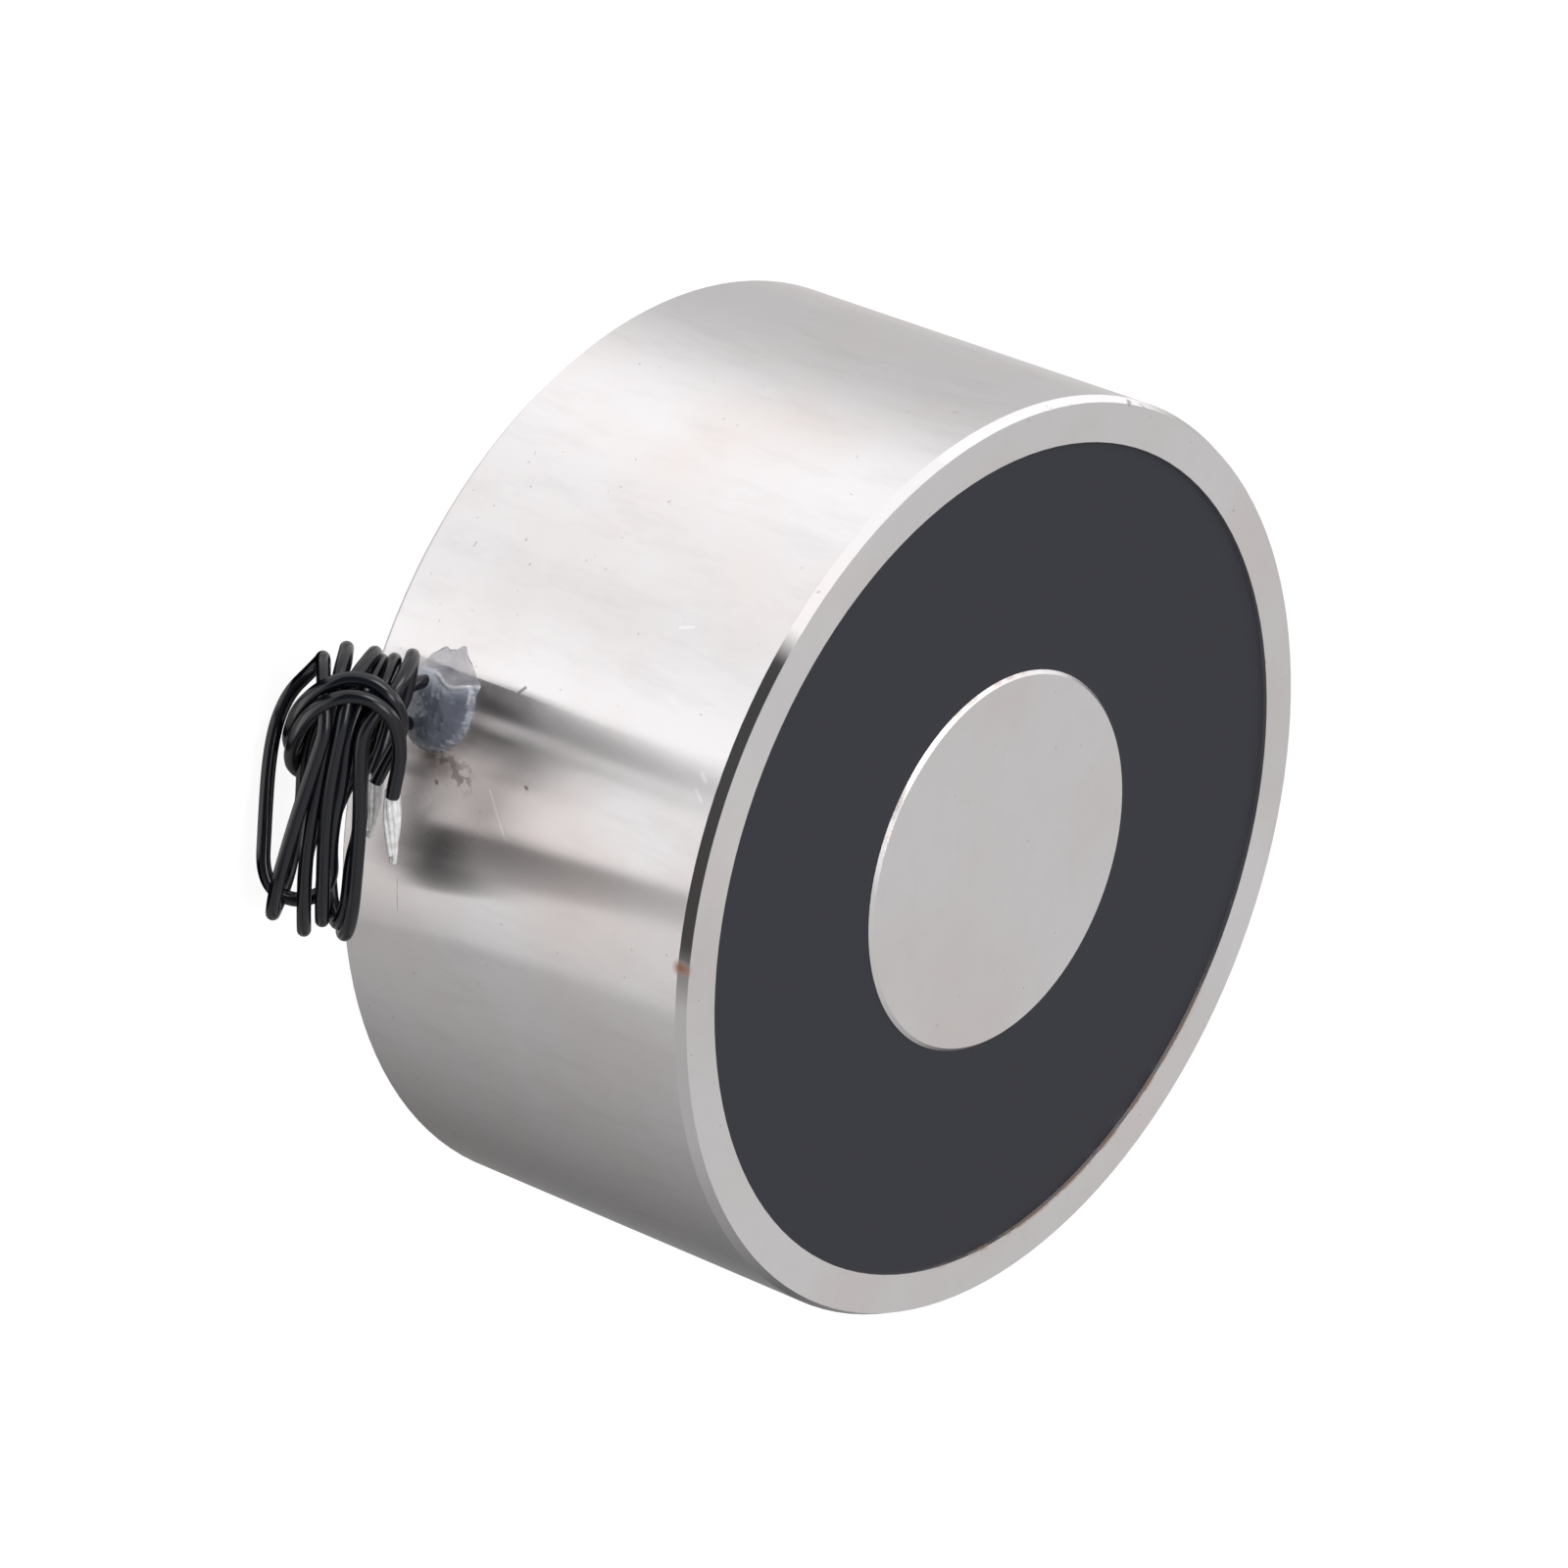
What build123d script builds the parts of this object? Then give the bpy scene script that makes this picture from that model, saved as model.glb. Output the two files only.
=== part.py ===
from build123d import *
from math import atan2, cos, degrees, radians, sin, tan
import os

# Holding electromagnet: a steel cup with a pole core pressed into its base, a wound bobbin round
# the core, and black potting poured over the bobbin. Two leads leave by a sealed hole low in the side
# wall and end in a small tied hank. The base stands on z = 0 with the mounting thread at the origin.
# The holding face looks up, and the cable hole faces -Y.

os.makedirs("parts", exist_ok=True)

# Magnet body
magnet_diameter = 80.0
magnet_height = 38.0
rim_wall = 3.8
base_thickness = 7.0
cup_corner_chamfer = 1.0
face_chamfer_width = 0.4
face_chamfer_depth = 0.9
back_chamfer = 0.8

# Pole core and its mounting thread, tapped M8
pole_diameter = 33.2
pole_edge_break = 0.3
spigot_diameter = 20.0
spigot_lead_chamfer = 0.5
tap_hole_diameter = 6.8
tap_hole_depth = 15.0
tap_mouth_chamfer = 0.5
drill_point_angle = 118.0

# Cable hole, drilled from the side until it opens into the coil space above the base
cable_hole_diameter = 6.6
cable_hole_height = 7.8
cable_hole_depth = 7.5

# Bobbin, a light fit round the core and in the cup
bobbin_clearance = 0.15
bobbin_tube_wall = 1.0
bobbin_flange_thickness = 1.2
notch_corner_radius = 1.0
start_slot_width = 1.0
start_slot_root = 0.1

# Winding tape, the space left round it for the lead joints, and the potting over all
tape_thickness = 0.3
joint_space = 4.55
potting_recess = 0.35
potting_thickness = 3.65

# Leads, coil tails and the joints between them, which stand upright above the cable hole
lead_diameter = 1.2
lead_core_diameter = 0.9
inner_lead_bend = 2.2
tail_diameter = 0.5
splice_diameter = 0.8
splice_length = 6.0
sleeve_wall = 0.3
sleeve_length = 14.0
sleeve_taper_length = 2.0
sleeve_clearance = 0.15
sleeve_headroom = 2.2

# Sealant in the cable hole
seal_overlap = 0.5
seal_root = 0.05
seal_dome_height = 1.4

# Route of each lead from inside the sealant, and the tied hank that both end in. Places are
# measured from the middle of the cable hole's mouth, and the routes' points are chosen by hand.
lead_routes = {
    "a": [(-1.7, 1.0, -1.2), (-1.7, -1.3, -1.2), (-1.6, -3.9, -0.8), (-1.2, -6.2, 0.1)],
    "b": [(1.95, 1.0, -1.5), (1.95, -1.3, -1.5), (1.8, -3.8, -1.2), (1.4, -6.0, -0.4)],
}
hank_centre = (8.85, -7.7, -0.8)
hank_long_direction = Vector(-0.93, -0.34, 0.14)
hank_side_direction = Vector(-0.12, 0.65, 0.75)
hank_length = 26.0
hank_depth = 9.0
hank_width = 7.2
hank_edge_chamfer = 1.2
tie_position = 4.2
tie_tilt = 30.0
tie_width = 2.4
tie_corner_radius = 2.4
lead_end_side = 4.3
bare_end_length = 5.6
# Where each lead's insulation ends below the tie: place along the loops, place across their folds
lead_ends = {"a": (1.7, 3.2), "b": (2.4, 1.2)}

magnet_radius = magnet_diameter / 2
cup_bore_radius = magnet_radius - rim_wall
pole_radius = pole_diameter / 2
spigot_radius = spigot_diameter / 2
lead_radius = lead_diameter / 2
tail_radius = tail_diameter / 2
cable_hole_radius = cable_hole_diameter / 2
bobbin_bore_radius = pole_radius + bobbin_clearance
bobbin_tube_radius = bobbin_bore_radius + bobbin_tube_wall
flange_radius = cup_bore_radius - bobbin_clearance
tape_radius = cup_bore_radius - joint_space
winding_radius = tape_radius - tape_thickness
potting_top = magnet_height - potting_recess
bobbin_top = potting_top - potting_thickness
winding_bottom = base_thickness + bobbin_flange_thickness
winding_top = bobbin_top - bobbin_flange_thickness
half_splice = splice_length / 2
half_sleeve = sleeve_length / 2
joint_line_y = -(tape_radius + sleeve_clearance + sleeve_wall + lead_radius)
joint_height = winding_top - sleeve_headroom - half_sleeve
hole_mouth = Vector(0, -magnet_radius, cable_hole_height)


def bend_radii(points):
    """As large an arc at each bend as its two runs allow."""
    radii = []
    for before, corner, after in zip(points, points[1:], points[2:]):
        run_in = Vector(corner) - Vector(before)
        run_out = Vector(after) - Vector(corner)
        shorter_run = min(run_in.length, run_out.length)
        radii.append(0.45 * shorter_run / tan(radians(run_in.get_angle(run_out) / 2)))
    return radii


def bent_wire(points, radii, wire_radius):
    """A round wire along straight runs joined by tangent arcs."""
    with BuildPart() as wire:
        with BuildLine():
            route = FilletPolyline(*points, radius=radii)
        with BuildSketch(Plane(origin=route @ 0, z_dir=route % 0)):
            Circle(wire_radius)
        sweep()
    return wire.part


def creased_wire(points, wire_radius):
    """A thin wire folded sharply at its corners."""
    with BuildPart() as wire:
        with BuildLine():
            route = Polyline(*points)
        with BuildSketch(Plane(origin=route @ 0, z_dir=route % 0)):
            Circle(wire_radius)
        sweep(transition=Transition.RIGHT)
    return wire.part


def drilled_hole(radius, depth):
    """Half section of a drilled hole: its wall, then the cone of the drill's point."""
    cone_height = radius / tan(radians(drill_point_angle / 2))
    return [(0, 0), (radius, 0), (radius, depth), (0, depth + cone_height)]


# Cable hole as a solid, cut from the side wall and the base. The section's own y runs inwards.
cable_hole_axis = Axis(hole_mouth, (0, 1, 0))
with BuildPart() as cable_hole:
    with BuildSketch(Plane(origin=hole_mouth)):
        with BuildLine():
            Polyline(*drilled_hole(cable_hole_radius, cable_hole_depth), close=True)
        make_face()
    revolve(axis=cable_hole_axis)

# Cup: turned steel, with the outer rim as one pole of the magnet
with BuildPart() as pot:
    with BuildSketch(Plane.XZ):
        with BuildLine():
            Polyline(
                (spigot_radius, 0),
                (magnet_radius - back_chamfer, 0),
                (magnet_radius, back_chamfer),
                (magnet_radius, magnet_height - face_chamfer_depth),
                (magnet_radius - face_chamfer_width, magnet_height),
                (cup_bore_radius, magnet_height),
                (cup_bore_radius, base_thickness + cup_corner_chamfer),
                (cup_bore_radius - cup_corner_chamfer, base_thickness),
                (spigot_radius, base_thickness),
                close=True,
            )
        make_face()
    revolve(axis=Axis.Z)
    add(cable_hole.part, mode=Mode.SUBTRACT)
pot.part.label = "pot"
export_step(pot.part, "parts/pot.step")

# Pole core: turned steel, its spigot pressed into the base, tapped from the back for the fixing bolt
with BuildPart() as pole_core:
    with BuildSketch(Plane.XZ):
        with BuildLine():
            Polyline(
                (0, 0),
                (spigot_radius - spigot_lead_chamfer, 0),
                (spigot_radius, spigot_lead_chamfer),
                (spigot_radius, base_thickness),
                (pole_radius, base_thickness),
                (pole_radius, magnet_height - pole_edge_break),
                (pole_radius - pole_edge_break, magnet_height),
                (0, magnet_height),
                close=True,
            )
        make_face()
    revolve(axis=Axis.Z)
    with BuildSketch(Plane.XZ):
        with BuildLine():
            Polyline(*drilled_hole(tap_hole_diameter / 2, tap_hole_depth), close=True)
        make_face()
    revolve(axis=Axis.Z, mode=Mode.SUBTRACT)
    back_circles = pole_core.edges().filter_by(GeomType.CIRCLE).group_by(Axis.Z)[0]
    chamfer(back_circles.sort_by(SortBy.RADIUS)[0], length=tap_mouth_chamfer)
pole_core.part.label = "pole_core"
export_step(pole_core.part, "parts/pole_core.step")

# Joints: each stands beside the winding, over its own lead's place in the cable hole
joint_centres = {}
for side, route in lead_routes.items():
    joint_centres[side] = Vector(route[0][0], joint_line_y, joint_height)
start_slot_angle = degrees(atan2(joint_line_y, joint_centres["b"].X))
start_slot_direction = Vector(cos(radians(start_slot_angle)), sin(radians(start_slot_angle)), 0)

# Bobbin: a moulded spool. Its lower flange has a notch over the cable hole, and its upper flange a
# slot for the winding's inner end.
with BuildPart() as bobbin:
    with BuildSketch(Plane.XZ):
        with BuildLine():
            Polyline(
                (bobbin_bore_radius, base_thickness),
                (flange_radius - cup_corner_chamfer, base_thickness),
                (flange_radius, base_thickness + cup_corner_chamfer),
                (flange_radius, winding_bottom),
                (bobbin_tube_radius, winding_bottom),
                (bobbin_tube_radius, winding_top),
                (flange_radius, winding_top),
                (flange_radius, bobbin_top),
                (bobbin_bore_radius, bobbin_top),
                close=True,
            )
        make_face()
    revolve(axis=Axis.Z)
    with BuildSketch(Plane.XY.offset(base_thickness)):
        with Locations((0, -tape_radius)):
            RectangleRounded(cable_hole_diameter, 2 * joint_space, notch_corner_radius)
        Circle(winding_radius, mode=Mode.SUBTRACT)
    extrude(amount=bobbin_flange_thickness, mode=Mode.SUBTRACT)
    with BuildSketch(Plane.XY.offset(winding_top)):
        with PolarLocations(bobbin_tube_radius + start_slot_root, 1, start_angle=start_slot_angle):
            Rectangle(cup_bore_radius, start_slot_width, align=(Align.MIN, Align.CENTER))
    extrude(amount=bobbin_flange_thickness, mode=Mode.SUBTRACT)
bobbin.part.label = "bobbin"
export_step(bobbin.part, "parts/bobbin.step")

# Winding: enamelled copper wire wound full between the flanges
with BuildPart() as coil_winding:
    with BuildSketch(Plane.XY.offset(winding_bottom)):
        Circle(winding_radius)
        Circle(bobbin_tube_radius, mode=Mode.SUBTRACT)
    extrude(amount=winding_top - winding_bottom)
coil_winding.part.label = "coil_winding"
export_step(coil_winding.part, "parts/coil_winding.step")

# Inner ends of the leads: from inside the sealant, up past the flange and into the sleeves
inner_leads = {}
for side, route in lead_routes.items():
    entry = hole_mouth + Vector(route[0])
    corner = Vector(entry.X, joint_line_y, entry.Z)
    insulation_end = joint_centres[side] - Vector(0, 0, half_splice)
    inner_lead = bent_wire([entry, corner, insulation_end], [inner_lead_bend], lead_radius)
    inner_lead.label = "inner_lead_" + side
    export_step(inner_lead, "parts/inner_lead_" + side + ".step")
    inner_leads[side] = inner_lead

# Soldered joints between lead and tail
for side, centre in joint_centres.items():
    with BuildPart() as splice:
        with BuildSketch(Plane(origin=centre - Vector(0, 0, half_splice))):
            Circle(splice_diameter / 2)
        extrude(amount=splice_length)
    splice.part.label = "splice_" + side
    export_step(splice.part, "parts/splice_" + side + ".step")

# Shrunk sleeves: each covers the joint, and is shrunk down on the tail above it
for side, centre in joint_centres.items():
    with BuildPart() as sleeve:
        with BuildSketch(Plane(centre, x_dir=(1, 0, 0), z_dir=(0, -1, 0))):
            with BuildLine():
                Polyline(
                    (lead_radius, -half_sleeve),
                    (lead_radius + sleeve_wall, -half_sleeve),
                    (lead_radius + sleeve_wall, half_splice),
                    (tail_radius + sleeve_wall, half_splice + sleeve_taper_length),
                    (tail_radius + sleeve_wall, half_sleeve),
                    (tail_radius, half_sleeve),
                    (tail_radius, half_splice + sleeve_taper_length),
                    (lead_radius, half_splice),
                    close=True,
                )
            make_face()
        revolve(axis=Axis(centre, (0, 0, 1)))
    sleeve.part.label = "sleeve_" + side
    export_step(sleeve.part, "parts/sleeve_" + side + ".step")

# Finish tail: from its joint through the tape to the outer layer of the winding
finish_foot = joint_centres["a"] + Vector(0, 0, half_splice)
finish_corner = joint_centres["a"] + Vector(0, 0, half_sleeve + sleeve_headroom / 2)
finish_end = Vector(finish_corner.X, -winding_radius + tail_diameter, finish_corner.Z)
with BuildPart() as finish_tail:
    add(creased_wire([finish_foot, finish_corner, finish_end], tail_radius))
    add(coil_winding.part, mode=Mode.SUBTRACT)
finish_tail.part.label = "finish_tail"
export_step(finish_tail.part, "parts/finish_tail.step")

# Start tail: from its joint up into the upper flange's slot, in along it and down on the innermost
# layer of the winding
slot_middle_height = winding_top + bobbin_flange_thickness / 2
start_foot = joint_centres["b"] + Vector(0, 0, half_splice)
start_corner = Vector(start_foot.X, start_foot.Y, slot_middle_height)
start_root = start_slot_direction * (bobbin_tube_radius + tail_diameter) + Vector(0, 0, slot_middle_height)
start_end = Vector(start_root.X, start_root.Y, winding_top)
start_tail = creased_wire([start_foot, start_corner, start_root, start_end], tail_radius)
start_tail.label = "start_tail"
export_step(start_tail, "parts/start_tail.step")

# Tape round the winding, pierced by the finish tail
with BuildPart() as winding_tape:
    with BuildSketch(Plane.XY.offset(winding_bottom)):
        Circle(tape_radius)
        Circle(winding_radius, mode=Mode.SUBTRACT)
    extrude(amount=winding_top - winding_bottom)
    add(finish_tail.part, mode=Mode.SUBTRACT)
winding_tape.part.label = "winding_tape"
export_step(winding_tape.part, "parts/winding_tape.step")

# Potting: poured over the bobbin between the poles, and run into the slot round the start tail
with BuildPart() as potting:
    with BuildSketch(Plane.XY.offset(winding_top)):
        Circle(cup_bore_radius)
        Circle(pole_radius, mode=Mode.SUBTRACT)
    extrude(amount=potting_top - winding_top)
    with BuildSketch(Plane.XY.offset(winding_top)):
        Circle(cup_bore_radius)
        with PolarLocations(bobbin_tube_radius + start_slot_root, 1, start_angle=start_slot_angle):
            Rectangle(
                flange_radius - bobbin_tube_radius - start_slot_root,
                start_slot_width,
                align=(Align.MIN, Align.CENTER),
                mode=Mode.SUBTRACT,
            )
    extrude(amount=bobbin_flange_thickness, mode=Mode.SUBTRACT)
    add(start_tail, mode=Mode.SUBTRACT)
potting.part.label = "potting"
export_step(potting.part, "parts/potting.step")

# Hank: both leads folded into flat loops, tied with their own last turn, as one outer shape. Its
# plane's x runs along the loops, y across their folds and z from loop to loop.
hank_along = hank_long_direction.normalized()
hank_side = (hank_side_direction - hank_along * hank_side_direction.dot(hank_along)).normalized()
hank_plane = Plane(origin=hole_mouth + Vector(hank_centre), x_dir=hank_along, z_dir=hank_side)
tie_normal = hank_along * cos(radians(tie_tilt)) - hank_plane.y_dir * sin(radians(tie_tilt))
tie_plane = Plane(origin=hank_plane.origin + hank_along * tie_position, x_dir=hank_side, z_dir=tie_normal)
tie_across = hank_depth / cos(radians(tie_tilt)) + 2 * lead_diameter
with BuildPart() as lead_hank:
    with BuildSketch(hank_plane):
        SlotOverall(hank_length, hank_depth)
    extrude(amount=hank_width / 2, both=True)
    chamfer(lead_hank.edges(), length=hank_edge_chamfer)
    with BuildSketch(tie_plane):
        RectangleRounded(hank_width + 2 * lead_diameter, tie_across, tie_corner_radius)
    extrude(amount=tie_width / 2, both=True)
    for along, across in lead_ends.values():
        end_point = hank_plane.from_local_coords(Vector(along, across, lead_end_side))
        with BuildSketch(Plane(origin=end_point, z_dir=hank_along)):
            Circle(lead_radius)
        extrude(amount=tie_position - along + across * tan(radians(tie_tilt)))
lead_hank.part.label = "lead_hank"
export_step(lead_hank.part, "parts/lead_hank.step")

# Free stretch of each lead, from inside the sealant to the hank
lead_tubes = {}
for side, route in lead_routes.items():
    radii = bend_radii(route)
    print("lead", side, "bend radii, mm:", [round(radius, 1) for radius in radii])
    with BuildPart() as lead_tube:
        add(bent_wire([hole_mouth + Vector(point) for point in route], radii, lead_radius))
        add(lead_hank.part, mode=Mode.SUBTRACT)
    lead_tube.part.label = "lead_tube_" + side
    export_step(lead_tube.part, "parts/lead_tube_" + side + ".step")
    lead_tubes[side] = lead_tube.part

# Bare, tinned ends of the leads
for side, (along, across) in lead_ends.items():
    end_point = hank_plane.from_local_coords(Vector(along, across, lead_end_side))
    with BuildPart() as bare_end:
        with BuildSketch(Plane(origin=end_point, z_dir=-hank_along)):
            Circle(lead_core_diameter / 2)
        extrude(amount=bare_end_length)
    bare_end.part.label = "bare_end_" + side
    export_step(bare_end.part, "parts/bare_end_" + side + ".step")

# Sealant: fills the cable hole through the wall and domes over its rim, round both leads
dome_radius = cable_hole_radius + seal_overlap
dome_base_height = (magnet_radius ** 2 - dome_radius ** 2) ** 0.5
dome_rise = magnet_radius + seal_dome_height - dome_base_height
with BuildPart() as cable_seal:
    with BuildSketch(Plane(origin=(0, -dome_base_height, cable_hole_height))):
        with BuildLine():
            TangentArc((0, -dome_rise), (dome_radius, 0), tangent=(1, 0))
            Polyline((dome_radius, 0), (0, 0), (0, -dome_rise))
        make_face()
    revolve(axis=cable_hole_axis)
    with BuildSketch(Plane.XY):
        Circle(magnet_radius)
    extrude(amount=magnet_height, mode=Mode.SUBTRACT)
    with BuildSketch(Plane.XZ.offset(cup_bore_radius - rim_wall)):
        with Locations((0, cable_hole_height)):
            Circle(cable_hole_radius)
    extrude(amount=2 * rim_wall + seal_root)
    with BuildSketch(Plane.XY):
        Circle(cup_bore_radius)
    extrude(amount=magnet_height, mode=Mode.SUBTRACT)
    for side in lead_tubes:
        add(lead_tubes[side], mode=Mode.SUBTRACT)
        add(inner_leads[side], mode=Mode.SUBTRACT)
cable_seal.part.label = "cable_seal"
export_step(cable_seal.part, "parts/cable_seal.step")
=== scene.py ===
import bmesh
import bpy
from math import cos, degrees, exp, pi, radians, sin, sqrt, tau
from mathutils import Matrix, Vector, noise


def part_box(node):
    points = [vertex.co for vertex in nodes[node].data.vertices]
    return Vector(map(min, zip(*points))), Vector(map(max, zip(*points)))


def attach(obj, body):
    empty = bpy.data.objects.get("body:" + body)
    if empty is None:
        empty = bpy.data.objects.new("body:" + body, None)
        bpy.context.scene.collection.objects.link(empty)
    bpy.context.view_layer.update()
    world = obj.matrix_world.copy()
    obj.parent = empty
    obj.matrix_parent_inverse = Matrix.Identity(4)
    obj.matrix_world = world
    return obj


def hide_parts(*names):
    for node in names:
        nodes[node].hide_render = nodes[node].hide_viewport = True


# Holding electromagnet: a nickel plated steel cup and pole core round a potted coil, with a sealed
# cable hole low in its side and two black leads tied in a small hank.
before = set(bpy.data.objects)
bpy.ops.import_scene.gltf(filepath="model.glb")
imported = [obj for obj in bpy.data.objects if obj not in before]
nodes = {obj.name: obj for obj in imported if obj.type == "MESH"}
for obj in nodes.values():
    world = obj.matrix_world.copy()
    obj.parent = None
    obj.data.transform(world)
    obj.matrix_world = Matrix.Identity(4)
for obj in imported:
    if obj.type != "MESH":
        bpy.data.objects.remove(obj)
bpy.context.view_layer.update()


# Cup: free-cutting steel, turned, with its mouth ground flat as the outer pole, then nickel plated
# all over. The lathe's lines stay under the thin plate and draw each reflection out along the magnet.
def linear_colour(code):
    """An sRGB hex colour as the linear colour that a shader takes."""
    channels = [int(code[i:i + 2], 16) / 255 for i in (1, 3, 5)]
    return [c / 12.92 if c <= 0.04045 else ((c + 0.055) / 1.055) ** 2.4 for c in channels] + [1.0]


def add_node(tree, kind, inputs=None, **settings):
    """Adds a shader node with its settings, its values and the links that lead into it.

    A node among the inputs leads in by its first output in use.
    """
    made = tree.nodes.new(kind)
    for name, value in settings.items():
        setattr(made, name, value)
    for socket, value in (inputs or {}).items():
        if isinstance(value, bpy.types.Node):
            value = next(output for output in value.outputs if output.enabled)
        if isinstance(value, bpy.types.NodeSocket):
            tree.links.new(value, made.inputs[socket])
        else:
            made.inputs[socket].default_value = value
    return made


def new_material(name):
    """An empty material and its tree."""
    material = bpy.data.materials.new(name)
    material.use_nodes = True
    material.node_tree.nodes.clear()
    return material, material.node_tree


def add_object(name, data):
    """A new object in the scene, made of a mesh, a curve, a lamp or a camera."""
    made = bpy.data.objects.new(name, data)
    bpy.context.collection.objects.link(made)
    return made


def finish_cad_node(name, material):
    """Gives a piece of the solid model its real finish."""
    piece = nodes[name]
    piece.data.materials.clear()
    piece.data.materials.append(material)


def mark_cover(tree, place, start, finish, reach, strength):
    """A straight mark from start to finish that fades out at its reach, all in millimetres."""
    start = Vector(start) * mm
    span = Vector(finish) * mm - start
    offset = add_node(tree, "ShaderNodeVectorMath", {0: place, 1: start}, operation="SUBTRACT")
    along = add_node(tree, "ShaderNodeVectorMath", {
        0: offset, 1: span / span.length_squared}, operation="DOT_PRODUCT")
    share = add_node(tree, "ShaderNodeClamp", {"Value": along})
    foot = add_node(tree, "ShaderNodeVectorMath", {0: span, "Scale": share}, operation="SCALE")
    apart = add_node(tree, "ShaderNodeVectorMath", {0: offset, 1: foot}, operation="DISTANCE")
    return add_node(tree, "ShaderNodeMapRange", {
        "Value": apart, "From Max": reach * mm, "To Min": strength, "To Max": 0.0},
        interpolation_type="SMOOTHSTEP")


mm = 0.001
cup_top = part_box("pot")[1]
magnet_radius = round(cup_top.x, 4)
magnet_height = round(cup_top.z, 4)
bore_radius = round(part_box("potting")[1].x, 4)
chamfer_foot = magnet_height - 0.9 * mm
chamfer_rim = magnet_radius - 0.4 * mm
chamfer_roughness = 0.1
plate_colour = "#ebe8e9"
flushed_colour = "#e9e2e1"
smudge_colour = "#cfcaca"
fine_pit_colour = "#5b5552"
stain_colour = "#a88a76"
stain_fade = 12
stain_width = 0.28 * mm
cloud_size = 14.3 * mm
smudge_width = 2.38 * mm
smudge_length = 4 * smudge_width
# Pits and grit are a few tenths of a millimetre on the real plate, and are drawn coarser to show
pit_spacing = 0.667 * mm
grit_spacing = 0.909 * mm


def edge_stain(tree, height, radius, bearing, patches, edge_radius, stained_from, stained_to, strength):
    """Steel stained brown along one stretch of a sharp edge, where the plate is thinnest."""
    from_edge = add_node(tree, "ShaderNodeMath", {0: radius, 1: edge_radius}, operation="SUBTRACT")
    from_edge = add_node(tree, "ShaderNodeMath", {0: from_edge}, operation="ABSOLUTE")
    stain = strength
    for value, none_at, full_at in (
            (from_edge, stain_width, stain_width - 0.16 * mm),
            (height, magnet_height - 1.4 * mm, magnet_height - 0.8 * mm),
            (bearing, radians(stained_from), radians(stained_from + stain_fade)),
            (bearing, radians(stained_to), radians(stained_to - stain_fade)),
            (patches, 0.44, 0.54)):
        share = add_node(tree, "ShaderNodeMapRange", {
            "Value": value, "From Min": none_at, "From Max": full_at})
        stain = add_node(tree, "ShaderNodeMath", {0: stain, 1: share}, operation="MULTIPLY")
    return stain


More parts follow.
